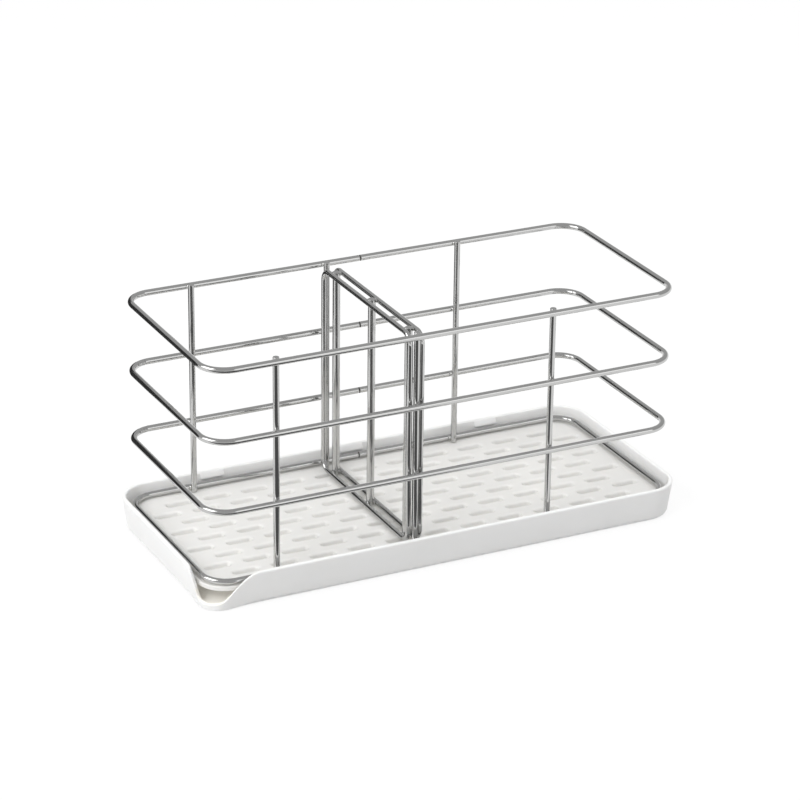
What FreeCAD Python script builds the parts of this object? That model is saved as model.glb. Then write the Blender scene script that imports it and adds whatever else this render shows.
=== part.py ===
import FreeCAD, Part
import Sketcher
import math
import os

# Kitchen sink caddy: a welded wire basket with a lift-out wire divider, standing on a slotted
# drain plate in a drip tray that pours at its front-left corner.
# Millimetres, +X along the length, +Y to the back, +Z up, origin under the middle of the tray.

Vector = FreeCAD.Vector

DIMENSIONS = {
    # Basket rings, measured to the middle of the wire
    "ring_length": 242.0,
    "ring_width": 103.4,
    "ring_corner": 12.5,
    "ring_wire": 3.0,
    "ring_pitch": 35.0,
    # Uprights, welded inside the rings
    "upright_wire": 3.0,
    "upright_left_margin": 33.6,
    "upright_right_margin": 66.4,
    "weld_sink": 0.3,
    # Divider, two loops either side of three bars
    "loop_wire": 2.6,
    "loop_bend": 5.5,
    "nest_gap": 0.2,
    "bar_weld": 0.15,
    "bar_inset": 7.9,
    "bar_end": 0.3,
    "divider_play": 2.0,
    "divider_seat": -1.2,
    "divider_drop": 0.3,
    # Drain plate on its posts
    "plate_thickness": 2.0,
    "plate_end": 0.6,
    "post_height": 6.4,
    "post_diameter": 5.0,
    "post_margin": 24.0,
    "slot_length": 12.0,
    "slot_width": 3.0,
    "slot_pitch": 19.8,
    "slot_row_pitch": 10.0,
    "slot_end_margin": 7.0,
    "slot_side_margin": 9.0,
    # Gap between the wire and the plate it stands on
    "seat_gap": 0.3,
    # Drip tray
    "tray_wall": 2.0,
    "tray_floor": 2.2,
    "tray_draft": 2.4,
    "tray_bevel": 1.8,
    "tray_gap_end": 2.5,
    "tray_gap_side": 1.8,
    "corner_ease": 0.5,
    "rim_rise": 5.0,
    # Retaining tabs inside the long walls
    "tab_width": 12.5,
    "tab_margin": 45.5,
    "tab_gap": 0.3,
    "tab_top": 0.4,
    "tab_lip": 0.6,
    # Pouring spout at the front-left corner
    "spout_reach": 26.0,
    "spout_flare": 0.8,
    "spout_nose": 13.0,
    "spout_mouth": 40.0,
    "spout_throat": 14.0,
    "spout_shoulder": 21.5,
    "lip_rise": 2.0,
}

# Sizes and places that follow from the driving dimensions
RING_OUT_X = "(dims.ring_length + dims.ring_wire) / 2"
RING_OUT_Y = "(dims.ring_width + dims.ring_wire) / 2"
PLATE_BOTTOM = "(dims.tray_floor + dims.post_height)"
PLATE_TOP = f"({PLATE_BOTTOM} + dims.plate_thickness)"
RING_LOW = f"({PLATE_TOP} + dims.seat_gap + dims.ring_wire / 2)"
RIM = f"({RING_LOW} + dims.rim_rise)"
TRAY_X = f"({RING_OUT_X} + dims.tray_gap_end + dims.tray_wall)"
TRAY_Y = f"({RING_OUT_Y} + dims.tray_gap_side + dims.tray_wall)"
TRAY_CORNER = "(dims.ring_corner + dims.ring_wire / 2 + dims.corner_ease + dims.tray_wall)"
PLATE_X = f"({RING_OUT_X} + dims.plate_end)"
PLATE_Y = f"({RING_OUT_Y})"
UPRIGHT_LEFT = "(dims.upright_left_margin - dims.ring_length / 2)"
UPRIGHT_RIGHT = "(dims.ring_length / 2 - dims.upright_right_margin)"
UPRIGHT_MIDDLE = f"(({UPRIGHT_LEFT} + {UPRIGHT_RIGHT}) / 2)"
UPRIGHT_Y = "(dims.ring_width / 2 - (dims.ring_wire + dims.upright_wire) / 2 + dims.weld_sink)"
UPRIGHT_HEIGHT = "(3 * dims.ring_pitch + dims.ring_wire)"
LOOP_X = "(dims.upright_wire / 2 + dims.nest_gap + dims.loop_wire / 2)"
LOOP_Y = "(dims.ring_width / 2 - (dims.ring_wire + dims.loop_wire) / 2 - dims.divider_play)"
LOOP_LOW = f"({PLATE_TOP} + dims.seat_gap + dims.loop_wire / 2)"
LOOP_HIGH = f"({RING_LOW} + 3 * dims.ring_pitch - dims.divider_drop)"
BAR_WIRE = "(dims.upright_wire + 2 * (dims.nest_gap + dims.bar_weld))"
TAB_PITCH = "(dims.ring_length / 2 - dims.tab_margin)"

doc = FreeCAD.newDocument("sink_caddy")
dims = doc.addObject("Spreadsheet::Sheet", "dims")
for row, (alias, number) in enumerate(DIMENSIONS.items(), start=1):
    dims.set(f"A{row}", alias)
    dims.set(f"B{row}", str(number))
    dims.setAlias(f"B{row}", alias)
doc.recompute()


def value(expression):
    """The number that an expression on the sheet gives."""
    return float(dims.evalExpression(expression))


def bind(thing, **properties):
    """Tie properties to expressions; two underscores stand for a dot in the property's path."""
    for name, expression in properties.items():
        thing.setExpression(name.replace("__", "."), expression)


def new_body(name):
    body = doc.addObject("PartDesign::Body", name)
    body.Label = name
    return body


def origin_plane(body, role):
    return next(plane for plane in body.Origin.OriginFeatures if plane.Role == role)


def new_sketch(body, name, role, **offset):
    """A sketch on one of the body's own origin planes, with its attachment offset bound."""
    sketch = body.newObject("Sketcher::SketchObject", name)
    sketch.AttachmentSupport = [(origin_plane(body, role), "")]
    sketch.MapMode = "FlatFace"
    for axis, expression in offset.items():
        bind(sketch, **{f"AttachmentOffset__Base__{axis}": expression})
    doc.recompute()
    return sketch


def line(sketch, start, end):
    return sketch.addGeometry(Part.LineSegment(Vector(*start, 0), Vector(*end, 0)))


def arc(sketch, centre, radius, start, end):
    circle = Part.Circle(Vector(*centre, 0), Vector(0, 0, 1), radius)
    return sketch.addGeometry(Part.ArcOfCircle(circle, math.radians(start), math.radians(end)))


def size(sketch, kind, references, expression):
    """A dimension in the sketch that follows the sheet."""
    index = sketch.addConstraint(Sketcher.Constraint(kind, *references, value(expression)))
    sketch.setExpression(f"Constraints[{index}]", expression)


def fix(sketch, kind, *references):
    sketch.addConstraint(Sketcher.Constraint(kind, *references))


def rounded_rectangle(sketch, half_x, half_y, corner):
    """A rectangle with round corners, centred on the sketch."""
    x, y, r = value(half_x), value(half_y), value(corner)
    edges = [
        line(sketch, (r - x, -y), (x - r, -y)),
        arc(sketch, (x - r, r - y), r, -90, 0),
        line(sketch, (x, r - y), (x, y - r)),
        arc(sketch, (x - r, y - r), r, 0, 90),
        line(sketch, (x - r, y), (r - x, y)),
        arc(sketch, (r - x, y - r), r, 90, 180),
        line(sketch, (-x, y - r), (-x, r - y)),
        arc(sketch, (r - x, r - y), r, 180, 270),
    ]
    for this, following in zip(edges, edges[1:] + edges[:1]):
        fix(sketch, "Tangent", this, 2, following, 1)
    for index in (0, 4):
        fix(sketch, "Horizontal", edges[index])
    for index in (2, 6):
        fix(sketch, "Vertical", edges[index])
    for index in (3, 5, 7):
        fix(sketch, "Equal", edges[1], edges[index])
    size(sketch, "Radius", (edges[1],), corner)
    size(sketch, "DistanceX", (-1, 1, edges[2], 1), half_x)
    size(sketch, "DistanceX", (edges[6], 1, -1, 1), half_x)
    size(sketch, "DistanceY", (-1, 1, edges[4], 1), half_y)
    size(sketch, "DistanceY", (edges[0], 1, -1, 1), half_y)


def circle(sketch, x, y, diameter):
    """A circle at or left of and below the sketch's origin, by expressions for how far."""
    shape = Part.Circle(Vector(-value(x), -value(y), 0), Vector(0, 0, 1), value(diameter) / 2)
    index = sketch.addGeometry(shape)
    size(sketch, "Diameter", (index,), diameter)
    size(sketch, "DistanceX", (index, 3, -1, 1), x)
    size(sketch, "DistanceY", (index, 3, -1, 1), y)


def wire_loop(name, half_x, half_y, corner, wire):
    """Round wire bent to a closed rectangle in its own XY plane."""
    body = new_body(name)
    path = new_sketch(body, f"{name}_path", "XY_Plane")
    rounded_rectangle(path, half_x, half_y, corner)
    section = new_sketch(body, f"{name}_section", "YZ_Plane")
    circle(section, half_y, "0", wire)
    pipe = body.newObject("PartDesign::AdditivePipe", f"{name}_wire")
    pipe.Profile = section
    pipe.Spine = path
    doc.recompute()
    return body


def straight_wire(name, welded_to, diameter, height, x, y, z):
    """A vertical wire, notched where it is set into the wires that it is welded to."""
    rod = doc.addObject("Part::Cylinder", f"{name}_rod")
    bind(rod, Radius=f"{diameter} / 2", Height=height)
    bind(rod, Placement__Base__x=x, Placement__Base__y=y, Placement__Base__z=z)
    cut = doc.addObject("Part::Cut", name)
    cut.Label = name
    cut.Base = rod
    cut.Tool = welded_to
    return cut


def welded_group(name, wires):
    group = doc.addObject("Part::Compound", name)
    group.Links = wires
    return group


def pattern(body, name, original, moves):
    """Copies of a feature by a chain of linear moves and mirrors."""
    copies = body.newObject("PartDesign::MultiTransform", name)
    copies.Originals = [original]
    copies.Transformations = moves
    body.Tip = copies
    doc.recompute()
    return copies


def linear(body, name, direction, length, count):
    move = body.newObject("PartDesign::LinearPattern", name)
    move.Direction = direction
    bind(move, Length=length, Occurrences=count)
    return move


def basket_rings():
    """Four equal rings, one ring pitch apart."""
    rings = []
    for level, name in enumerate(("bottom_ring", "lower_ring", "upper_ring", "top_ring")):
        ring = wire_loop(
            name, "dims.ring_length / 2", "dims.ring_width / 2", "dims.ring_corner", "dims.ring_wire")
        bind(ring, Placement__Base__z=f"{RING_LOW} + {level} * dims.ring_pitch")
        rings.append(ring)
    return rings


def basket_uprights(rings):
    """Three uprights at the front and three at the back, their ends flush with the outer rings."""
    uprights = []
    welded_to = welded_group("ring_set", rings)
    for side, sign in (("front", "-"), ("back", "")):
        for place, x in (("left", UPRIGHT_LEFT), ("middle", UPRIGHT_MIDDLE), ("right", UPRIGHT_RIGHT)):
            uprights.append(straight_wire(
                f"{side}_{place}_upright", welded_to, "dims.upright_wire", UPRIGHT_HEIGHT,
                x=x, y=f"{sign}{UPRIGHT_Y}", z=f"{RING_LOW} - dims.ring_wire / 2"))
    return uprights


def divider():
    """Two loops that straddle the middle uprights, held apart by three bars."""
    loops = []
    turn = FreeCAD.Rotation(Vector(1, 1, 1), 120)
    for side, sign in (("left", "-"), ("right", "+")):
        loop = wire_loop(
            f"divider_{side}_loop", LOOP_Y, f"({LOOP_HIGH} - {LOOP_LOW}) / 2",
            "dims.loop_bend", "dims.loop_wire")
        loop.Placement = FreeCAD.Placement(Vector(), turn)
        bind(
            loop, Placement__Base__x=f"{UPRIGHT_MIDDLE} {sign} {LOOP_X}",
            Placement__Base__y="dims.divider_seat", Placement__Base__z=f"({LOOP_HIGH} + {LOOP_LOW}) / 2")
        loops.append(loop)
    welded_to = welded_group("loop_set", loops)
    bars = []
    for place, step in (("front", -1), ("centre", 0), ("back", 1)):
        bars.append(straight_wire(
            f"divider_{place}_bar", welded_to, BAR_WIRE,
            f"{LOOP_HIGH} - {LOOP_LOW} + dims.loop_wire - 2 * dims.bar_end",
            x=UPRIGHT_MIDDLE, y=f"dims.divider_seat + {step} * ({LOOP_Y} - dims.bar_inset)",
            z=f"{LOOP_LOW} - dims.loop_wire / 2 + dims.bar_end"))
    return loops + bars


def slot_grid(body, name, columns, rows, start_y):
    """Slots through the plate: equal rows two row pitches apart, centred along the length."""
    span_x = f"({columns} - 1) * dims.slot_pitch"
    span_y = f"({rows} - 1) * 2 * dims.slot_row_pitch"
    sketch = new_sketch(
        body, f"{name}_slot", "XY_Plane", x=f"-{span_x} / 2", y=start_y, z="dims.plate_thickness")
    straight = "(dims.slot_length - dims.slot_width)"
    half, r = value(straight) / 2, value("dims.slot_width") / 2
    edges = [
        line(sketch, (-half, -r), (half, -r)),
        arc(sketch, (half, 0), r, -90, 90),
        line(sketch, (half, r), (-half, r)),
        arc(sketch, (-half, 0), r, 90, 270),
    ]
    for this, following in zip(edges, edges[1:] + edges[:1]):
        fix(sketch, "Tangent", this, 2, following, 1)
    fix(sketch, "Horizontal", edges[0])
    fix(sketch, "Equal", edges[1], edges[3])
    fix(sketch, "Symmetric", edges[1], 3, edges[3], 3, -1, 1)
    size(sketch, "Radius", (edges[1],), "dims.slot_width / 2")
    size(sketch, "DistanceX", (edges[0], 1, edges[0], 2), straight)
    slot = body.newObject("PartDesign::Pocket", f"{name}_cut")
    slot.Profile = sketch
    bind(slot, Length="dims.plate_thickness")
    doc.recompute()
    along = linear(body, f"{name}_along", (sketch, ["H_Axis"]), span_x, columns)
    across = linear(body, f"{name}_across", (sketch, ["V_Axis"]), span_y, rows)
    return pattern(body, f"{name}_grid", slot, [along, across])


def drain_plate():
    """Flat plate with staggered slots, on short posts that stand on the tray's floor."""
    body = new_body("drain_plate")
    outline = new_sketch(body, "plate_outline", "XY_Plane")
    corner = f"({TRAY_CORNER} - dims.tray_wall - dims.tray_draft * (1 - {PLATE_BOTTOM} / {RIM}))"
    rounded_rectangle(outline, PLATE_X, PLATE_Y, corner)
    slab = body.newObject("PartDesign::Pad", "plate_slab")
    slab.Profile = outline
    bind(slab, Length="dims.plate_thickness")
    doc.recompute()

    room_x = f"(2 * {PLATE_X} - 2 * dims.slot_end_margin - dims.slot_length)"
    room_y = f"(2 * {PLATE_Y} - 2 * dims.slot_side_margin - dims.slot_width)"
    columns = f"(floor({room_x} / dims.slot_pitch) + 1)"
    rows = f"(floor({room_y} / dims.slot_row_pitch) + 1)"
    first_row = f"(1 - {rows}) / 2 * dims.slot_row_pitch"
    slot_grid(body, "short_row", f"({columns} - 1)", f"ceil({rows} / 2)", first_row)
    slot_grid(body, "long_row", columns, f"floor({rows} / 2)", f"{first_row} + dims.slot_row_pitch")

    post_x = f"({PLATE_X} - dims.post_margin)"
    post_y = f"({rows} / 2 - 1) * dims.slot_row_pitch"
    spot = new_sketch(body, "post_circle", "XY_Plane")
    circle(spot, post_x, post_y, "dims.post_diameter")
    post = body.newObject("PartDesign::Pad", "post")
    post.Profile = spot
    post.Reversed = True
    bind(post, Length="dims.post_height")
    doc.recompute()
    along = linear(body, "post_along", (spot, ["H_Axis"]), f"2 * {post_x}", "4")
    across = linear(body, "post_across", (spot, ["V_Axis"]), f"2 * {post_y}", "2")
    pattern(body, "posts", post, [along, across])
    bind(body, Placement__Base__z=PLATE_BOTTOM)
    return body


def tray_outline(body, name, inset, height):
    """The tray in plan, drawn in by an inset: three round corners, and the spout at the fourth."""
    sketch = new_sketch(body, name, "XY_Plane", z=height)
    half_x, half_y = f"{TRAY_X} - ({inset})", f"{TRAY_Y} - ({inset})"
    corner, nose = f"{TRAY_CORNER} - ({inset})", f"dims.spout_nose - ({inset})"
    nose_x, nose_y = (f"{half} - dims.spout_nose + dims.spout_flare" for half in (TRAY_X, TRAY_Y))
    start_x, start_y = (f"{half} - dims.spout_reach" for half in (TRAY_X, TRAY_Y))
    x, y, r, n = (value(size_text) for size_text in (half_x, half_y, corner, nose))
    centre = Vector(-value(nose_x), -value(nose_y), 0)
    left_start = Vector(-x, -value(start_y), 0)
    front_start = Vector(-value(start_x), -y, 0)

    def touch(point, sense):
        """Angle on the nose where a line from the point touches it."""
        away = point - centre
        return math.degrees(math.atan2(away.y, away.x) + sense * math.acos(n / away.Length))

    def on_nose(angle):
        return (centre.x + n * math.cos(math.radians(angle)), centre.y + n * math.sin(math.radians(angle)))

    left_touch, front_touch = touch(left_start, 1), touch(front_start, -1) + 360
    front = line(sketch, (front_start.x, -y), (x - r, -y))
    front_right = arc(sketch, (x - r, r - y), r, -90, 0)
    right = line(sketch, (x, r - y), (x, y - r))
    back_right = arc(sketch, (x - r, y - r), r, 0, 90)
    back = line(sketch, (x - r, y), (r - x, y))
    back_left = arc(sketch, (r - x, y - r), r, 90, 180)
    left = line(sketch, (-x, y - r), (-x, left_start.y))
    left_flare = line(sketch, (-x, left_start.y), on_nose(left_touch))
    spout = arc(sketch, (centre.x, centre.y), n, left_touch, front_touch)
    front_flare = line(sketch, on_nose(front_touch), (front_start.x, -y))

    smooth = [front, front_right, right, back_right, back, back_left, left]
    for this, following in zip(smooth, smooth[1:]):
        fix(sketch, "Tangent", this, 2, following, 1)
    fix(sketch, "Coincident", left, 2, left_flare, 1)
    fix(sketch, "Tangent", left_flare, 2, spout, 1)
    fix(sketch, "Tangent", spout, 2, front_flare, 1)
    fix(sketch, "Coincident", front_flare, 2, front, 1)
    for level in (front, back):
        fix(sketch, "Horizontal", level)
    for upright in (right, left):
        fix(sketch, "Vertical", upright)
    fix(sketch, "Equal", front_right, back_right)
    fix(sketch, "Equal", front_right, back_left)
    size(sketch, "Radius", (front_right,), corner)
    size(sketch, "Radius", (spout,), nose)
    size(sketch, "DistanceX", (spout, 3, -1, 1), nose_x)
    size(sketch, "DistanceY", (spout, 3, -1, 1), nose_y)
    size(sketch, "DistanceX", (front, 1, -1, 1), start_x)
    size(sketch, "DistanceY", (left, 2, -1, 1), start_y)
    size(sketch, "DistanceX", (-1, 1, right, 1), half_x)
    size(sketch, "DistanceX", (left, 1, -1, 1), half_x)
    size(sketch, "DistanceY", (-1, 1, back, 1), half_y)
    size(sketch, "DistanceY", (front, 1, -1, 1), half_y)
    return sketch


def retaining_tabs(body):
    """Wedges inside the long walls that end just over and just beside the bottom ring."""
    sketch = new_sketch(body, "tab_profile", "YZ_Plane", z=f"-{TAB_PITCH}")
    in_wall = f"{TRAY_Y} - dims.tray_wall / 2"
    tip_y = f"{RING_OUT_Y} + dims.tab_gap"
    low = f"{RING_LOW} + dims.ring_wire / 2 + dims.tab_gap"
    corners = [
        (in_wall, low),
        (in_wall, f"{RIM} - dims.tab_top"),
        (f"{TRAY_Y} - dims.tray_wall", f"{RIM} - dims.tab_top"),
        (tip_y, f"{low} + dims.tab_lip"),
        (tip_y, low),
    ]
    points = [(value(y), value(z)) for y, z in corners]
    edges = [line(sketch, this, following) for this, following in zip(points, points[1:] + points[:1])]
    for this, following in zip(edges, edges[1:] + edges[:1]):
        fix(sketch, "Coincident", this, 2, following, 1)
    for edge, (y, z) in zip(edges, corners):
        size(sketch, "DistanceX", (-1, 1, edge, 1), y)
        size(sketch, "DistanceY", (-1, 1, edge, 1), z)
    tab = body.newObject("PartDesign::Pad", "tab")
    tab.Profile = sketch
    tab.Midplane = True
    bind(tab, Length="dims.tab_width")
    doc.recompute()
    along = linear(body, "tab_along", (sketch, ["N_Axis"]), f"2 * {TAB_PITCH}", "3")
    mirror = body.newObject("PartDesign::Mirrored", "tab_front")
    mirror.MirrorPlane = (origin_plane(body, "XZ_Plane"), [""])
    return pattern(body, "tabs", tab, [along, mirror])


def spout_notch(body):
    """The dip in the wall at the spout, cut along the corner's diagonal down to the lip."""
    sketch = new_sketch(body, "spout_profile", "XZ_Plane")
    sketch.AttachmentOffset = FreeCAD.Placement(Vector(), FreeCAD.Rotation(Vector(0, 1, 0), -45))
    bind(sketch, AttachmentOffset__Base__x=f"dims.spout_reach - {TRAY_X}",
         AttachmentOffset__Base__z=f"{TRAY_Y} - dims.spout_reach")
    doc.recompute()
    lip = "dims.tray_floor + dims.lip_rise"
    above = f"{RIM} + dims.rim_rise"
    mouth, throat = value("dims.spout_mouth") / 2, value("dims.spout_throat") / 2
    radius, low, high, top = (value(e) for e in ("dims.spout_shoulder", lip, RIM, above))

    chord = Vector(mouth - throat, high - low, 0)
    depth = math.sqrt(radius ** 2 - chord.Length ** 2 / 4)
    side = Vector(chord.y, -chord.x, 0).normalize() * depth
    centre = Vector((mouth + throat) / 2, (high + low) / 2, 0) + side
    start = math.degrees(math.atan2(high - centre.y, mouth - centre.x))
    end = math.degrees(math.atan2(low - centre.y, throat - centre.x)) % 360
    floor_edge = line(sketch, (-throat, low), (throat, low))
    right_shoulder = arc(sketch, (centre.x, centre.y), radius, start, end)
    right_edge = line(sketch, (mouth, high), (mouth, top))
    top_edge = line(sketch, (mouth, top), (-mouth, top))
    left_edge = line(sketch, (-mouth, top), (-mouth, high))
    left_shoulder = arc(sketch, (-centre.x, centre.y), radius, 180 - end, 180 - start)

    fix(sketch, "Coincident", floor_edge, 2, right_shoulder, 2)
    fix(sketch, "Coincident", right_shoulder, 1, right_edge, 1)
    fix(sketch, "Coincident", right_edge, 2, top_edge, 1)
    fix(sketch, "Coincident", top_edge, 2, left_edge, 1)
    fix(sketch, "Coincident", left_edge, 2, left_shoulder, 2)
    fix(sketch, "Coincident", left_shoulder, 1, floor_edge, 1)
    fix(sketch, "Vertical", right_edge)
    fix(sketch, "Symmetric", floor_edge, 1, floor_edge, 2, -2)
    fix(sketch, "Symmetric", top_edge, 1, top_edge, 2, -2)
    fix(sketch, "Symmetric", right_edge, 1, left_edge, 2, -2)
    fix(sketch, "Equal", right_shoulder, left_shoulder)
    size(sketch, "Radius", (right_shoulder,), "dims.spout_shoulder")
    size(sketch, "DistanceX", (floor_edge, 1, floor_edge, 2), "dims.spout_throat")
    size(sketch, "DistanceX", (top_edge, 2, top_edge, 1), "dims.spout_mouth")
    size(sketch, "DistanceY", (-1, 1, floor_edge, 2), lip)
    size(sketch, "DistanceY", (-1, 1, right_edge, 1), RIM)
    size(sketch, "DistanceY", (-1, 1, right_edge, 2), above)
    notch = body.newObject("PartDesign::Pocket", "spout_notch")
    notch.Profile = sketch
    notch.Reversed = True
    bind(notch, Length="2 * dims.spout_reach")
    doc.recompute()
    return notch


def drip_tray():
    """Shallow moulded tray: drafted wall, bevelled underside, retaining tabs and a pouring spout."""
    body = new_body("drip_tray")
    block = body.newObject("PartDesign::AdditiveLoft", "tray_block")
    edge_inset = f"dims.tray_draft * (1 - dims.tray_bevel / {RIM})"
    block.Profile = tray_outline(body, "tray_underside", f"{edge_inset} + dims.tray_bevel", "0")
    block.Sections = [
        tray_outline(body, "tray_edge", edge_inset, "dims.tray_bevel"),
        tray_outline(body, "tray_rim", "0", RIM),
    ]
    block.Ruled = True
    doc.recompute()

    floor_inset = f"dims.tray_wall + dims.tray_draft * (1 - dims.tray_floor / {RIM})"
    hollow = body.newObject("PartDesign::SubtractiveLoft", "tray_hollow")
    hollow.Profile = tray_outline(body, "hollow_floor", floor_inset, "dims.tray_floor")
    hollow.Sections = [tray_outline(body, "hollow_rim", "dims.tray_wall", RIM)]
    hollow.Ruled = True
    doc.recompute()

    tabs = retaining_tabs(body)
    notch = spout_notch(body)
    assert hollow.Shape.Volume < 0.5 * block.Shape.Volume, "the tray is not hollow"
    assert tabs.Shape.Volume > hollow.Shape.Volume, "the tabs add nothing"
    assert notch.Shape.Volume < tabs.Shape.Volume, "the spout cuts nothing"
    return body


rings = basket_rings()
nodes = [drip_tray(), drain_plate()] + rings + basket_uprights(rings) + divider()
doc.recompute()

for item in doc.Objects:
    assert not {"Invalid", "Error"} & set(item.State), f"{item.Label} failed: {item.State}"
for node in nodes:
    assert not node.Shape.isNull() and node.Shape.isValid(), f"{node.Label} has no valid shape"
    assert len(node.Shape.Solids) == 1, f"{node.Label} is not one solid"

os.makedirs("parts", exist_ok=True)
for node in nodes:
    node.Shape.exportStep(f"parts/{node.Label}.step")
    box = node.Shape.BoundBox
    print(f"{node.Label}: {node.Shape.Volume:.1f} mm3, z {box.ZMin:.2f} to {box.ZMax:.2f}")
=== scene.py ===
import math
import bmesh
import bpy
from mathutils import Matrix, Vector


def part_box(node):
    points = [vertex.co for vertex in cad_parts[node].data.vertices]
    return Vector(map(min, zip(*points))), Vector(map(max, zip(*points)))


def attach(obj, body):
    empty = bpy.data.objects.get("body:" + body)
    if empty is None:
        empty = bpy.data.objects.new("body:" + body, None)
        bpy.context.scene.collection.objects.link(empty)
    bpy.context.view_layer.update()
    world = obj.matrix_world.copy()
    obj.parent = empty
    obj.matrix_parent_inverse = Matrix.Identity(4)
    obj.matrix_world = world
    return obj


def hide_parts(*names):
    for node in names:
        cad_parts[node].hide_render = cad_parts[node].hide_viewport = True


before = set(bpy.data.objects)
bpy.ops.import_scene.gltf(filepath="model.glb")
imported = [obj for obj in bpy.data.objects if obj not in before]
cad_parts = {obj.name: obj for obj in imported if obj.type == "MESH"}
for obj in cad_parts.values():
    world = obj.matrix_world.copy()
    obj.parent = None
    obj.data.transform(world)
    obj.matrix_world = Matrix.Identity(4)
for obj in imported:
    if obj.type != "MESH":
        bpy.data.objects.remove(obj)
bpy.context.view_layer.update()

# Drip tray: one injection moulding in white plastic. The wall leans out from a rounded underside
# to a rolled rim, dips to a pouring spout at the front-left corner, and has small tabs inside the
# long walls that the basket's bottom ring snaps under.
MM = 0.001
rim_x, rim_y, rim_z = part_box("drip_tray")[1]
rim_round = 0.9 * MM
tray_wall = 2.0 * MM
tray_floor = 2.2 * MM
tray_draft = 2.4 * MM
tray_corner = 16.5 * MM
underside_round = 2.8 * MM
floor_round = 1.2 * MM
floor_margin = 0.5 * MM
wall_collar = 0.4 * MM
plate_line = 8.6 * MM
arc_steps, corner_steps = 6, 14
crease_angle = 40
touching = 1e-6

spout_reach = 26 * MM
spout_columns = 34 * MM
spout_zone = 1.3 * spout_columns
spout_point = 1.2 * MM
spout_nose, nose_steps = 14 * MM, 12
spout_blend, blend_steps = 7 * MM, 4
spout_lip = 3.4 * MM
spout_throat, throat_softness = 8 * MM, 0.2
front_shoulder, left_shoulder = 12 * MM, 7 * MM
column_pitch = 1.0 * MM


def round_corners(bm, corners, radius, segments):
    """Replace flat corners of an outline by arcs."""
    bmesh.ops.bevel(
        bm, geom=corners, offset=radius, affect='VERTICES', segments=segments, profile=0.5,
        material=-1, clamp_overlap=False)


def tray_outline():
    """The rim in plan as one face: three round corners, and the flared nose of the spout."""
    bm = bmesh.new()
    level = rim_z - rim_round
    plan = [
        (spout_columns - rim_x, -rim_y), (rim_x, -rim_y), (rim_x, rim_y), (-rim_x, rim_y),
        (-rim_x, spout_columns - rim_y), (-rim_x, spout_reach - rim_y),
        (-rim_x - spout_point, -rim_y - spout_point), (spout_reach - rim_x, -rim_y),
    ]
    corners = [bm.verts.new((x, y, level)) for x, y in plan]
    bm.faces.new(corners)
    round_corners(bm, corners[1:4], tray_corner, corner_steps)
    round_corners(bm, [corners[6]], spout_nose, nose_steps)
    round_corners(bm, [corners[5], corners[7]], spout_blend, blend_steps)
    end_x, end_y = (spout_columns - side + column_pitch for side in (rim_x, rim_y))
    near = [edge for edge in bm.edges if all(v.co.x < end_x and v.co.y < end_y for v in edge.verts)]
    for edge in near:
        bmesh.ops.subdivide_edges(bm, edges=[edge], cuts=int(edge.calc_length() / column_pitch))
    return bm


def follow_profile(bm, profile):
    """Carry the outline's face along a list of (inset, height), leaving the wall behind it."""
    bm.normal_update()
    bm.faces.ensure_lookup_table()
    face = bm.faces[0]
    sense = 1 if face.normal.z > 0 else -1
    for (inset, height), (next_inset, next_height) in zip(profile, profile[1:]):
        bmesh.ops.inset_region(
            bm, faces=[face], thickness=next_inset - inset, depth=(next_height - height) * sense,
            use_even_offset=True, use_boundary=True)
    return face


def quarter(inset, height, across, up, radius, rising):
    """A quarter round from a point, ending level if it starts upright and upright if not."""
    points = []
    for step in range(1, arc_steps + 1):
        turn = math.radians(90 * step / arc_steps)
        flat, steep = 1 - math.cos(turn), math.sin(turn)
        a, b = (flat, steep) if rising else (steep, flat)
        points.append((inset + across * radius * a, height + up * radius * b))
    return points


def lean(height):
    """How far the drafted wall stands in from the rim at a height."""
    return tray_draft * (rim_z - rim_round - height) / rim_z


def spout_level(across):
    """Height of the rim over the spout, by the distance from the corner's diagonal."""
    rise = (abs(across) - spout_throat) / (front_shoulder if across > 0 else left_shoulder)
    soft = min((rise + math.hypot(rise, throat_softness)) / 2, 1.0)
    return spout_lip + (rim_z - spout_lip) * soft * (2 - soft)


def dip_spout(bm, low):
    """Lower the rim at the spout and draw the wall in with it, as its draft asks."""
    top = rim_z - rim_round - touching
    nose_x, nose_y = (spout_nose - spout_point - side for side in (rim_x, rim_y))
    for v in bm.verts:
        along, out = v.co.x + rim_x, v.co.y + rim_y
        if along + out > spout_zone:
            continue
        level = spout_level((along - out) / math.sqrt(2))
        if v.co.z >= top:
            height = v.co.z - (rim_z - level)
        else:
            height = low + (v.co.z - low) * (level - rim_round - low) / (top - low)
        inward = Vector((max(nose_x - v.co.x, 0), max(nose_y - v.co.y, 0), 0)).normalized()
        v.co += inward * tray_draft * (v.co.z - height) / rim_z
        v.co = Vector((max(v.co.x, -rim_x), max(v.co.y, -rim_y), height))


def shaped(bm, name, material, crease=crease_angle):
    """Turn a finished bmesh into a smooth-shaded object with its edges kept crisp past an angle."""
    for edge in bm.edges:
        if edge.is_manifold and edge.calc_face_angle() > math.radians(crease):
            edge.smooth = False
    mesh = bpy.data.meshes.new(name)
    bm.to_mesh(mesh)
    bm.free()
    mesh.shade_smooth()
    mesh.materials.append(material)
    piece = bpy.data.objects.new(name, mesh)
    bpy.context.scene.collection.objects.link(piece)
    return piece


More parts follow.
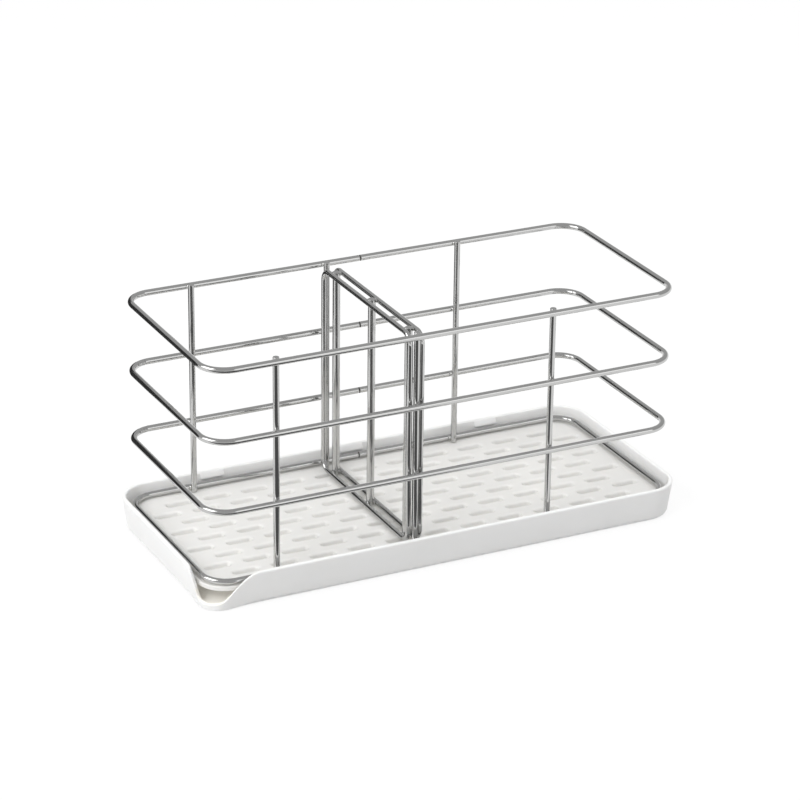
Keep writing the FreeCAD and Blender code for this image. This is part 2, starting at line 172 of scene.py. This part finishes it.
def moulded_white(name, dark, light, sheen, grain, glow, through):
    """White moulded plastic: faint flow marks in the colour, uneven gloss and a fine mould grain.
    Glow is light scattered just under the surface; through is the share that a thin wall passes on."""
    material = bpy.data.materials.new(name)
    material.use_nodes = True
    nodes, links = material.node_tree.nodes, material.node_tree.links
    shader = nodes["Principled BSDF"]
    shader.inputs["IOR"].default_value = 1.49
    shader.inputs["Subsurface Weight"].default_value = glow
    shader.inputs["Subsurface Radius"].default_value = (1.0, 0.97, 0.92)
    shader.inputs["Subsurface Scale"].default_value = 0.0012
    place = nodes.new("ShaderNodeTexCoord")
    flow = nodes.new("ShaderNodeTexNoise")
    flow.inputs["Scale"].default_value = 22
    flow.inputs["Detail"].default_value = 5
    flow.inputs["Distortion"].default_value = 0.6
    links.new(place.outputs["Object"], flow.inputs["Vector"])
    colour = nodes.new("ShaderNodeValToRGB")
    colour.color_ramp.elements[0].position = 0.3
    colour.color_ramp.elements[0].color = (*dark, 1)
    colour.color_ramp.elements[1].position = 0.7
    colour.color_ramp.elements[1].color = (*light, 1)
    links.new(flow.outputs["Fac"], colour.inputs["Fac"])
    links.new(colour.outputs["Color"], shader.inputs["Base Color"])
    gloss = nodes.new("ShaderNodeMapRange")
    gloss.inputs["To Min"].default_value = sheen[0]
    gloss.inputs["To Max"].default_value = sheen[1]
    links.new(flow.outputs["Fac"], gloss.inputs["Value"])
    links.new(gloss.outputs["Result"], shader.inputs["Roughness"])
    pores = nodes.new("ShaderNodeTexNoise")
    pores.inputs["Scale"].default_value = 1800
    pores.inputs["Detail"].default_value = 2
    links.new(place.outputs["Object"], pores.inputs["Vector"])
    bump = nodes.new("ShaderNodeBump")
    bump.inputs["Strength"].default_value = grain
    bump.inputs["Distance"].default_value = 0.0001
    links.new(pores.outputs["Fac"], bump.inputs["Height"])
    links.new(bump.outputs["Normal"], shader.inputs["Normal"])
    behind = nodes.new("ShaderNodeBsdfTranslucent")
    links.new(colour.outputs["Color"], behind.inputs["Color"])
    thin = nodes.new("ShaderNodeMixShader")
    thin.inputs["Fac"].default_value = through
    links.new(shader.outputs["BSDF"], thin.inputs[1])
    links.new(behind.outputs["BSDF"], thin.inputs[2])
    links.new(thin.outputs["Shader"], nodes["Material Output"].inputs["Surface"])
    return material


rim_base = rim_z - rim_round
inner_profile = [(0, rim_base)]
inner_profile += quarter(0, rim_base, 1, 1, rim_round, True)
inner_profile += [(tray_wall - rim_round, rim_z)]
inner_profile += quarter(tray_wall - rim_round, rim_z, 1, -1, rim_round, False)
inner_profile += [(tray_wall + lean(height), height) for height in (
    rim_base - wall_collar, plate_line, tray_floor + floor_round + wall_collar, tray_floor + floor_round)]
inner_profile += quarter(*inner_profile[-1], 1, -1, floor_round, True)
inner_profile += [(inner_profile[-1][0] + floor_margin, tray_floor)]
outer_profile = [(lean(height), height) for height in (
    rim_base, rim_base - wall_collar, underside_round + wall_collar, underside_round)]
outer_profile += quarter(*outer_profile[-1], 1, -1, underside_round, True)
outer_profile += [(outer_profile[-1][0] + floor_margin, 0)]

tray = bmesh.new()
for profile, low, outside in ((inner_profile, tray_floor, False), (outer_profile, 0, True)):
    side = tray_outline()
    if outside:
        bmesh.ops.reverse_faces(side, faces=side.faces)
    follow_profile(side, profile)
    dip_spout(side, low)
    # Faces inside the tray below the plate line take the second material, which is painted light for the
    # shaded hollow under the plate.
    for face in side.faces:
        face.material_index = int(not outside and face.calc_center_median().z < plate_line)
    half = bpy.data.meshes.new("tray_half")
    side.to_mesh(half)
    side.free()
    tray.from_mesh(half)
    bpy.data.meshes.remove(half)
bmesh.ops.remove_doubles(tray, verts=tray.verts, dist=touching)

tab_width, tab_pitch = 12.5 * MM, 75.5 * MM
tab_tip, tab_root, tab_back = 53.5 * MM, 55 * MM, 56 * MM
tab_low, tab_high, tab_ease = 14.2 * MM, 17 * MM, 0.35 * MM
tabs = bmesh.new()
for x in (-tab_pitch, 0, tab_pitch):
    for facing in (1, -1):
        made = bmesh.ops.create_cube(tabs, size=1)["verts"]
        for v in made:
            inner, upper = v.co.y < 0, v.co.z > 0
            depth = (tab_root if upper else tab_tip) if inner else tab_back
            v.co = Vector((x + v.co.x * tab_width, facing * depth, tab_high if upper else tab_low))
        edges = list({edge for v in made for edge in v.link_edges})
        bmesh.ops.recalc_face_normals(tabs, faces=list({face for v in made for face in v.link_faces}))
        bmesh.ops.bevel(
            tabs, geom=edges, offset=tab_ease, affect='EDGES', segments=2, profile=0.5, material=-1)
bmesh.ops.recalc_face_normals(tray, faces=tray.faces)

tray_white = moulded_white(
    "tray_white", dark=(0.90, 0.90, 0.893), light=(0.94, 0.94, 0.933), sheen=(0.30, 0.42),
    grain=0.08, glow=0.3, through=0.06)
# A brighter, creamier copy of the tray's white for the inside below the plate line: a painted glow that
# stands in for light passing through the thin plastic into the shaded hollow under the plate.
tray_inside_painted_glow = moulded_white(
    "tray_inside_painted_glow", dark=(0.95, 0.925, 0.865), light=(0.975, 0.955, 0.9), sheen=(0.30, 0.42),
    grain=0.08, glow=0.0, through=0.04)
drip_tray = shaped(tray, "drip_tray_moulding", tray_white)
drip_tray.data.materials.append(tray_inside_painted_glow)
tab_piece = shaped(tabs, "tray_tabs", tray_white)
union = drip_tray.modifiers.new("tabs", 'BOOLEAN')
union.operation, union.solver, union.object = 'UNION', 'EXACT', tab_piece
depsgraph = bpy.context.evaluated_depsgraph_get()
joined = bpy.data.meshes.new_from_object(drip_tray.evaluated_get(depsgraph))
drip_tray.modifiers.clear()
drip_tray.data = joined
joined.set_sharp_from_angle(angle=math.radians(crease_angle))
bpy.data.objects.remove(tab_piece)
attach(drip_tray, "tray")
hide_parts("drip_tray")

# Drain plate: a thin glossy moulding in white plastic with staggered rows of short slots, their edges
# eased and their walls leaning in. It stands on eight round posts on the tray's floor and lifts out
# for cleaning.
plate_x, plate_y, plate_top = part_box("drain_plate")[1]
plate_thickness = 2 * MM
plate_bottom = plate_top - plate_thickness
plate_corner = 13.3 * MM
plate_ease, plate_draft, plate_crease = 0.6 * MM, 0.05 * MM, 30
slot_half_length, slot_half_width = 6.3 * MM, 1.65 * MM
slot_ease, slot_spread, slot_draft = 0.9 * MM, 2, 0.45 * MM
slot_pitch, slot_row_pitch = 19.8 * MM, 10 * MM
slot_rows, slots_in_long_row = 9, 12
slot_sides = 24
post_radius, post_x, post_y = 2.5 * MM, 99.1 * MM, 35 * MM
post_sides = 20


def eased_outline(half_x, half_y, corner, level, segments):
    """A round-cornered rectangle as one face."""
    bm = bmesh.new()
    corners = [
        bm.verts.new((x, y, level))
        for x, y in ((-half_x, -half_y), (half_x, -half_y), (half_x, half_y), (-half_x, half_y))
    ]
    bm.faces.new(corners)
    round_corners(bm, corners, corner, segments)
    return bm


def add_copy(target, source, offset):
    """Add a shifted copy of one mesh to a bmesh."""
    before = len(target.verts)
    target.from_mesh(source)
    target.verts.ensure_lookup_table()
    bmesh.ops.translate(target, vec=offset, verts=target.verts[before:])


plate = eased_outline(plate_x, plate_y, plate_corner, plate_bottom, corner_steps)
edge_profile = [(0, plate_bottom), (plate_draft, plate_top - plate_ease)]
edge_profile += quarter(*edge_profile[-1], 1, 1, plate_ease, True)
cap = follow_profile(plate, edge_profile)
bmesh.ops.delete(plate, geom=[cap], context='FACES_ONLY')

slot = bmesh.new()
half_side = Matrix.Rotation(math.pi / slot_sides, 4, 'Z')
slot_end = bmesh.ops.create_circle(
    slot, cap_ends=True, segments=slot_sides, radius=slot_half_width + slot_spread * slot_ease,
    matrix=Matrix.Translation((0, 0, plate_top)) @ half_side)["verts"]
for v in slot_end:
    v.co.x += math.copysign(slot_half_length - slot_half_width, v.co.x)
slot_profile = [(0, plate_top)]
slot_profile += quarter(0, plate_top, slot_spread, -1, slot_ease, False)
slot_profile += [(slot_profile[-1][0] + slot_draft, plate_bottom)]
cap = follow_profile(slot, slot_profile)
bmesh.ops.delete(slot, geom=[cap], context='FACES_ONLY')
slot_mesh = bpy.data.meshes.new("slot")
slot.to_mesh(slot_mesh)
slot.free()
for row in range(slot_rows):
    count = slots_in_long_row - 1 + row % 2
    for column in range(count):
        x = (column - (count - 1) / 2) * slot_pitch
        y = (row - (slot_rows - 1) / 2) * slot_row_pitch
        add_copy(plate, slot_mesh, (x, y, 0))
bpy.data.meshes.remove(slot_mesh)
for level in (plate_top, plate_bottom):
    rims = [
        edge for edge in plate.edges
        if edge.is_boundary and all(abs(v.co.z - level) < touching for v in edge.verts)
    ]
    bmesh.ops.triangle_fill(plate, use_beauty=True, edges=rims, normal=(0, 0, 1))
    for edge in rims:
        edge.smooth = False
post_middle = (plate_bottom + tray_floor) / 2
for x in (-post_x, -post_x / 3, post_x / 3, post_x):
    for y in (-post_y, post_y):
        bmesh.ops.create_cone(
            plate, cap_ends=True, segments=post_sides, radius1=post_radius, radius2=post_radius,
            depth=plate_bottom - tray_floor, matrix=Matrix.Translation((x, y, post_middle)))
bmesh.ops.recalc_face_normals(plate, faces=plate.faces)
plate_white = moulded_white(
    "plate_white", dark=(0.95, 0.945, 0.93), light=(0.98, 0.975, 0.96), sheen=(0.12, 0.2),
    grain=0.04, glow=0.2, through=0.35)
plate_white.node_tree.nodes["Principled BSDF"].inputs["IOR"].default_value = 1.6
drain_plate = shaped(plate, "drain_plate_moulding", plate_white, crease=plate_crease)
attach(drain_plate, "plate")
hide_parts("drain_plate")

# Basket rings: polished stainless wire, each bent to a rounded rectangle and closed by one butt
# weld on the back run, which is ground flush and leaves a fine line.
ring_x, ring_y, ring_radius = 121 * MM, 51.7 * MM, 1.5 * MM
ring_corner = 12.5 * MM
ring_seam = 2.4 * MM
seam_groove = 0.85
seam_profile = [(0.15 * MM, 0.92), (0.15 * MM, 1.0)]
seam_half = sum(length for length, swell in seam_profile)
wire_sides = 28
bend_steps = 18
wire_collar = 0.5 * MM
steel_tone, line_shade = (0.57, 0.57, 0.565), 0.94
wire_polish = (0.07, 0.11)
along_draw, across_draw = 60, 4000
even_grain = (900, 900, 900)


def start_wire(bm, centre, turn, radius):
    """The open round end that a wire grows from."""
    made = bmesh.ops.create_circle(
        bm, segments=wire_sides, radius=radius, matrix=Matrix.Translation(centre) @ turn)["verts"]
    return list({edge for v in made for edge in v.link_edges})


def end_verts(edges):
    """The corners of a wire's open end."""
    return list({v for edge in edges for v in edge.verts})


def run_wire(bm, edges, step, swell=1.0):
    """Draw the wire straight on; swell thickens or thins its end."""
    grown = bmesh.ops.extrude_edge_only(bm, edges=edges)["geom"]
    edges = [item for item in grown if isinstance(item, bmesh.types.BMEdge)]
    edges = [edge for edge in edges if edge.is_boundary]
    tip = end_verts(edges)
    bmesh.ops.translate(bm, vec=step, verts=tip)
    middle = sum((v.co for v in tip), Vector()) / len(tip)
    bmesh.ops.scale(bm, vec=(swell, swell, swell), space=Matrix.Translation(-middle), verts=tip)
    return edges


def straight_wire(bm, edges, step):
    """A straight run. Its short ends keep the shading of bends and welds off the long middle."""
    collar = Vector(step).normalized() * wire_collar
    for part in (collar, Vector(step) - 2 * collar, collar):
        edges = run_wire(bm, edges, part)
    return edges


def bend_wire(bm, edges, centre, axis):
    """Bend the wire a quarter turn about an axis through the centre."""
    grown = bmesh.ops.spin(
        bm, geom=edges, cent=centre, axis=axis, dvec=(0, 0, 0), angle=math.radians(90),
        steps=bend_steps, use_merge=False)["geom_last"]
    return [item for item in grown if isinstance(item, bmesh.types.BMEdge)]


def close_wire(bm):
    """Join the two ends of a wire that has come round to its start."""
    bmesh.ops.remove_doubles(bm, verts=bm.verts, dist=touching)
    bmesh.ops.recalc_face_normals(bm, faces=bm.faces)


def polished_steel(name, grain, tone, rough):
    """Drawn stainless wire: fine lines along the draw, uneven polish."""
    material = bpy.data.materials.new(name)
    material.use_nodes = True
    nodes, links = material.node_tree.nodes, material.node_tree.links
    shader = nodes["Principled BSDF"]
    shader.inputs["Metallic"].default_value = 1.0
    place = nodes.new("ShaderNodeTexCoord")
    stretch = nodes.new("ShaderNodeMapping")
    stretch.inputs["Scale"].default_value = grain
    links.new(place.outputs["Object"], stretch.inputs["Vector"])
    lines = nodes.new("ShaderNodeTexNoise")
    lines.inputs["Scale"].default_value = 1.0
    lines.inputs["Detail"].default_value = 4
    links.new(stretch.outputs["Vector"], lines.inputs["Vector"])
    colour = nodes.new("ShaderNodeValToRGB")
    colour.color_ramp.elements[0].position = 0.3
    colour.color_ramp.elements[0].color = (*(line_shade * part for part in tone), 1)
    colour.color_ramp.elements[1].position = 0.7
    colour.color_ramp.elements[1].color = (*tone, 1)
    links.new(lines.outputs["Fac"], colour.inputs["Fac"])
    links.new(colour.outputs["Color"], shader.inputs["Base Color"])
    polish = nodes.new("ShaderNodeMapRange")
    polish.inputs["From Min"].default_value = 0.3
    polish.inputs["From Max"].default_value = 0.7
    polish.inputs["To Min"].default_value = rough[0]
    polish.inputs["To Max"].default_value = rough[1]
    links.new(lines.outputs["Fac"], polish.inputs["Value"])
    links.new(polish.outputs["Result"], shader.inputs["Roughness"])
    bump = nodes.new("ShaderNodeBump")
    bump.inputs["Strength"].default_value = 0.02
    bump.inputs["Distance"].default_value = 0.00005
    links.new(lines.outputs["Fac"], bump.inputs["Height"])
    links.new(bump.outputs["Normal"], shader.inputs["Normal"])
    return material


ring_steel = polished_steel(
    "ring_steel", grain=(along_draw, along_draw, across_draw), tone=steel_tone, rough=wire_polish)
seam_scale = polished_steel(
    "seam_scale", grain=even_grain, tone=(0.09, 0.085, 0.08), rough=(0.35, 0.5))
in_x, in_y = ring_x - ring_corner, ring_y - ring_corner
seam_sizes = [seam_groove] + [swell for length, swell in seam_profile]
along_x = Matrix.Rotation(math.radians(90), 4, 'Y')
ring_levels = {}
for name in ("bottom_ring", "lower_ring", "upper_ring", "top_ring"):
    low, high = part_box(name)
    level = (low.z + high.z) / 2
    ring_levels[name] = level
    bm = bmesh.new()
    end = start_wire(bm, (ring_seam, ring_y, level), along_x, seam_groove * ring_radius)
    for (length, swell), smaller in zip(seam_profile, seam_sizes):
        end = run_wire(bm, end, (-length, 0, 0), swell / smaller)
    end = straight_wire(bm, end, (-in_x - ring_seam + seam_half, 0, 0))
    end = bend_wire(bm, end, (-in_x, in_y, level), (0, 0, 1))
    end = straight_wire(bm, end, (0, -2 * in_y, 0))
    end = bend_wire(bm, end, (-in_x, -in_y, level), (0, 0, 1))
    end = straight_wire(bm, end, (2 * in_x, 0, 0))
    end = bend_wire(bm, end, (in_x, -in_y, level), (0, 0, 1))
    end = straight_wire(bm, end, (0, 2 * in_y, 0))
    end = bend_wire(bm, end, (in_x, in_y, level), (0, 0, 1))
    end = straight_wire(bm, end, (-in_x + ring_seam + seam_half, 0, 0))
    for (length, swell), smaller in zip(reversed(seam_profile), reversed(seam_sizes[:-1])):
        end = run_wire(bm, end, (-length, 0, 0), smaller / swell)
    close_wire(bm)
    for face in bm.faces:
        middle = face.calc_center_median()
        face.material_index = int(middle.y > 0 and abs(middle.x - ring_seam) < seam_half)
    ring = shaped(bm, f"{name}_wire", ring_steel)
    ring.data.materials.append(seam_scale)
    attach(ring, "basket")
    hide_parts(name)

# Uprights: straight lengths of the same wire, cropped and tumbled so that their ends are eased,
# resistance welded to the inside of all four rings.
upright_radius = 1.5 * MM
upright_y = 49.0 * MM
wire_ease = 0.2 * MM


def cut_rod(bm, x, y, low, high, radius):
    """A straight vertical wire with eased ends."""
    made = bmesh.ops.create_cone(
        bm, cap_ends=True, segments=wire_sides, radius1=radius, radius2=radius, depth=high - low,
        matrix=Matrix.Translation((x, y, (low + high) / 2)))["verts"]
    rims = [edge for edge in {edge for v in made for edge in v.link_edges}
            if abs(edge.verts[0].co.z - edge.verts[1].co.z) < touching]
    bmesh.ops.bevel(
        bm, geom=rims, offset=wire_ease, affect='EDGES', segments=4, profile=0.5, material=-1)
    for level in (low + wire_collar, high - wire_collar):
        bmesh.ops.bisect_plane(
            bm, geom=[*bm.verts, *bm.edges, *bm.faces], plane_co=(x, y, level), plane_no=(0, 0, 1))


upright_steel = polished_steel(
    "upright_steel", grain=(across_draw, across_draw, along_draw), tone=steel_tone, rough=wire_polish)
upright_places = []
for side in ("front", "back"):
    for place in ("left", "middle", "right"):
        name = f"{side}_{place}_upright"
        low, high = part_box(name)
        x = (low.x + high.x) / 2
        y = math.copysign(upright_y, low.y + high.y)
        upright_places.append((x, y))
        bm = bmesh.new()
        cut_rod(bm, x, y, low.z, high.z, upright_radius)
        upright = shaped(bm, f"{name}_wire", upright_steel)
        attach(upright, "basket")
        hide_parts(name)

# Basket welds: the small squeezed-out bead at each place where an upright crosses a ring, left by
# the resistance weld and polished with the rest.
weld_steel = polished_steel(
    "weld_steel", grain=even_grain, tone=(0.62, 0.62, 0.61), rough=(0.16, 0.3))
weld_radii = (1.9 * MM, 0.95 * MM, 1.4 * MM)
weld_y = 50.35 * MM


def add_bead(bm, centre, radii):
    """One rounded bead of weld metal."""
    bmesh.ops.create_uvsphere(
        bm, u_segments=16, v_segments=10, radius=1,
        matrix=Matrix.Translation(centre) @ Matrix.Diagonal((*radii, 1)))


bm = bmesh.new()
for x, y in upright_places:
    for level in ring_levels.values():
        add_bead(bm, (x, math.copysign(weld_y, y), level), weld_radii)
basket_welds = shaped(bm, "basket_welds", weld_steel)
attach(basket_welds, "basket")

# Divider loops: two closed loops of thinner stainless wire that straddle the middle uprights, so
# the divider stands upright and lifts straight out.
loop_radius = 1.3 * MM
loop_bend = 5.5 * MM
loop_half = 46.9 * MM
divider_y = -1.2 * MM
loop_low, loop_high = 12.2 * MM, 117.1 * MM
loop_steel = polished_steel(
    "loop_steel", grain=(across_draw, along_draw, along_draw), tone=steel_tone, rough=wire_polish)
along_y = Matrix.Rotation(math.radians(90), 4, 'X')
loop_places = []
for side in ("left", "right"):
    name = f"divider_{side}_loop"
    low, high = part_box(name)
    x = (low.x + high.x) / 2
    loop_places.append(x)
    near, far = divider_y - loop_half + loop_bend, divider_y + loop_half - loop_bend
    foot, head = loop_low + loop_bend, loop_high - loop_bend
    bm = bmesh.new()
    end = start_wire(bm, (x, divider_y, loop_low), along_y, loop_radius)
    end = straight_wire(bm, end, (0, far - divider_y, 0))
    end = bend_wire(bm, end, (x, far, foot), (1, 0, 0))
    end = straight_wire(bm, end, (0, 0, head - foot))
    end = bend_wire(bm, end, (x, far, head), (1, 0, 0))
    end = straight_wire(bm, end, (0, near - far, 0))
    end = bend_wire(bm, end, (x, near, head), (1, 0, 0))
    end = straight_wire(bm, end, (0, 0, foot - head))
    end = bend_wire(bm, end, (x, near, foot), (1, 0, 0))
    end = straight_wire(bm, end, (0, divider_y - near, 0))
    close_wire(bm)
    loop = shaped(bm, f"{name}_wire", loop_steel)
    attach(loop, "divider")
    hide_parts(name)

# Divider bars: three thicker straight stainless wires between the loops that hold them apart, welded
# to both at the top and at the bottom.
bar_radius = 1.85 * MM
bar_places = []
for place in ("front", "centre", "back"):
    name = f"divider_{place}_bar"
    low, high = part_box(name)
    x, y = (low.x + high.x) / 2, (low.y + high.y) / 2
    bar_places.append((x, y))
    bm = bmesh.new()
    cut_rod(bm, x, y, low.z, high.z, bar_radius)
    bar = shaped(bm, f"{name}_wire", upright_steel)
    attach(bar, "divider")
    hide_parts(name)

# Divider welds: the beads of weld metal in the crook between each bar end and the loops on either
# side, polished with the wires.
crook_radii = (0.7 * MM, 1.6 * MM, 1.25 * MM)
crook_sink = 0.15 * MM
bm = bmesh.new()
for x, y in bar_places:
    for loop_at in loop_places:
        crook = x + math.copysign(bar_radius - crook_sink, loop_at - x)
        for level in (loop_low, loop_high):
            add_bead(bm, (crook, y, level), crook_radii)
divider_welds = shaped(bm, "divider_welds", weld_steel)
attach(divider_welds, "divider")

# Studio: a plain white floor under a pale surround, lit by a broad soft lamp at the front left and
# one above. Two strip lamps and two grey cards show only as reflections, as round a polished piece
# in a photographer's tent.
floor_reach, floor_drop = 3, 0.1 * MM
paper_share = 0.86
card_lift = 0.5 * MM
bm = bmesh.new()
bmesh.ops.create_grid(
    bm, x_segments=1, y_segments=1, size=floor_reach, matrix=Matrix.Translation((0, 0, -floor_drop)))
floor_white = bpy.data.materials.new("floor_white")
floor_white.use_nodes = True
nodes, links = floor_white.node_tree.nodes, floor_white.node_tree.links
matte = nodes["Principled BSDF"]
matte.inputs["Roughness"].default_value = 0.9
paper = nodes.new("ShaderNodeEmission")
paper.inputs["Strength"].default_value = 1.0
rays = nodes.new("ShaderNodeLightPath")
mirrored = nodes.new("ShaderNodeMath")
mirrored.operation = 'MAXIMUM'
seen = nodes.new("ShaderNodeMath")
seen.operation = 'MAXIMUM'
share = nodes.new("ShaderNodeMath")
share.operation = 'MULTIPLY'
share.inputs[1].default_value = paper_share
mix = nodes.new("ShaderNodeMixShader")
bounce = nodes.new("ShaderNodeMix")
bounce.data_type = 'RGBA'
bounce.inputs["A"].default_value = (0.95, 0.95, 0.95, 1)
bounce.inputs["B"].default_value = (0.53, 0.53, 0.53, 1)
links.new(rays.outputs["Is Diffuse Ray"], bounce.inputs["Factor"])
links.new(bounce.outputs["Result"], matte.inputs["Base Color"])
links.new(rays.outputs["Is Camera Ray"], seen.inputs[0])
links.new(rays.outputs["Is Glossy Ray"], mirrored.inputs[0])
links.new(rays.outputs["Is Transmission Ray"], mirrored.inputs[1])
links.new(mirrored.outputs["Value"], seen.inputs[1])
links.new(seen.outputs["Value"], share.inputs[0])
links.new(share.outputs["Value"], mix.inputs["Fac"])
links.new(matte.outputs["BSDF"], mix.inputs[1])
links.new(paper.outputs["Emission"], mix.inputs[2])
links.new(mix.outputs["Shader"], nodes["Material Output"].inputs["Surface"])
floor = shaped(bm, "studio_floor", floor_white)

world = bpy.data.worlds.new("studio")
bpy.context.scene.world = world
world.use_nodes = True
nodes, links = world.node_tree.nodes, world.node_tree.links
around = nodes.new("ShaderNodeTexCoord")
height = nodes.new("ShaderNodeSeparateXYZ")
fall = nodes.new("ShaderNodeValToRGB")
for place, level in ((0.2, 0.46), (0.6, 0.5)):
    fall.color_ramp.elements.new(place).color = (level, level, level, 1)
fall.color_ramp.elements[0].position = 0.06
fall.color_ramp.elements[0].color = (1, 1, 1, 1)
fall.color_ramp.elements[-1].color = (0.5, 0.5, 0.5, 1)
links.new(around.outputs["Generated"], height.inputs["Vector"])
links.new(height.outputs["Z"], fall.inputs["Fac"])
links.new(fall.outputs["Color"], nodes["Background"].inputs["Color"])


def grey_card(name, left, right, fold, shade):
    """A folded card that shows only as a reflection in the steel."""
    bm = bmesh.new()
    start = [bm.verts.new((x, *fold[0])) for x in (left, right)]
    edge = bm.edges.new(start)
    for (y, z), (next_y, next_z) in zip(fold, fold[1:]):
        grown = bmesh.ops.extrude_edge_only(bm, edges=[edge])["geom"]
        edge = next(item for item in grown if isinstance(item, bmesh.types.BMEdge) and item.is_boundary)
        bmesh.ops.translate(bm, vec=(0, next_y - y, next_z - z), verts=edge.verts)
    paint = bpy.data.materials.new(name)
    paint.use_nodes = True
    paint.node_tree.nodes["Principled BSDF"].inputs["Base Color"].default_value = (shade, shade, shade, 1)
    paint.node_tree.nodes["Principled BSDF"].inputs["Roughness"].default_value = 0.9
    card = shaped(bm, name, paint)
    card.visible_camera = card.visible_diffuse = card.visible_shadow = card.visible_transmission = False


grey_card(
    "front_card", left=-0.75, right=0.04, fold=((-0.9, card_lift), (-0.085, card_lift)), shade=0.06)
grey_card(
    "back_card", left=-0.55, right=-0.03, fold=((0.15, card_lift), (0.35, card_lift), (0.35, 0.27)),
    shade=0.03)


def soft_lamp(name, place, width, height, power):
    """A broad lamp turned towards the middle of the object."""
    lamp = bpy.data.lights.new(name, 'AREA')
    lamp.shape = 'RECTANGLE'
    lamp.size, lamp.size_y = width, height
    lamp.energy = power
    holder = bpy.data.objects.new(name, lamp)
    holder.location = place
    holder.rotation_euler = (lamp_aim - Vector(place)).to_track_quat('-Z', 'Y').to_euler()
    bpy.context.scene.collection.objects.link(holder)
    return holder


lamp_aim = Vector((0, 0, 0.05))
for strip in (
        soft_lamp("left_strip", (-1.3, 0.1, 1.0), width=1.2, height=1.0, power=12),
        soft_lamp("right_strip", (0.75, -1.5, 0.75), width=0.9, height=0.9, power=2.4)):
    strip.visible_diffuse = False
for lamp in (
        soft_lamp("key_lamp", (-2.0, -0.65, 1.52), width=1.9, height=1.1, power=43),
        soft_lamp("top_lamp", (0.35, 0.05, 1.5), width=2.2, height=2.2, power=18)):
    lamp.visible_glossy = False

# Camera: a long lens that looks down on the object from the front left, at the height and turn that
# show the spout, very slightly rolled.
camera_place = Vector((-0.6292, -1.2577, 0.6693))
view_line = Vector((0.41064, 0.82131, -0.39602)).normalized()
camera_roll = math.radians(0.733)
camera = bpy.data.cameras.new("camera")
camera.sensor_width = 36
camera.lens = 143.68
level_right = view_line.cross(Vector((0, 0, 1))).normalized()
level_up = level_right.cross(view_line)
right = math.cos(camera_roll) * level_right + math.sin(camera_roll) * level_up
up = right.cross(view_line)
stand = bpy.data.objects.new("camera", camera)
camera_turn = Matrix((right, up, -view_line)).transposed().to_4x4()
stand.matrix_world = Matrix.Translation(camera_place) @ camera_turn
bpy.context.scene.collection.objects.link(stand)
bpy.context.scene.camera = stand
bpy.context.scene.view_settings.view_transform = 'Standard'
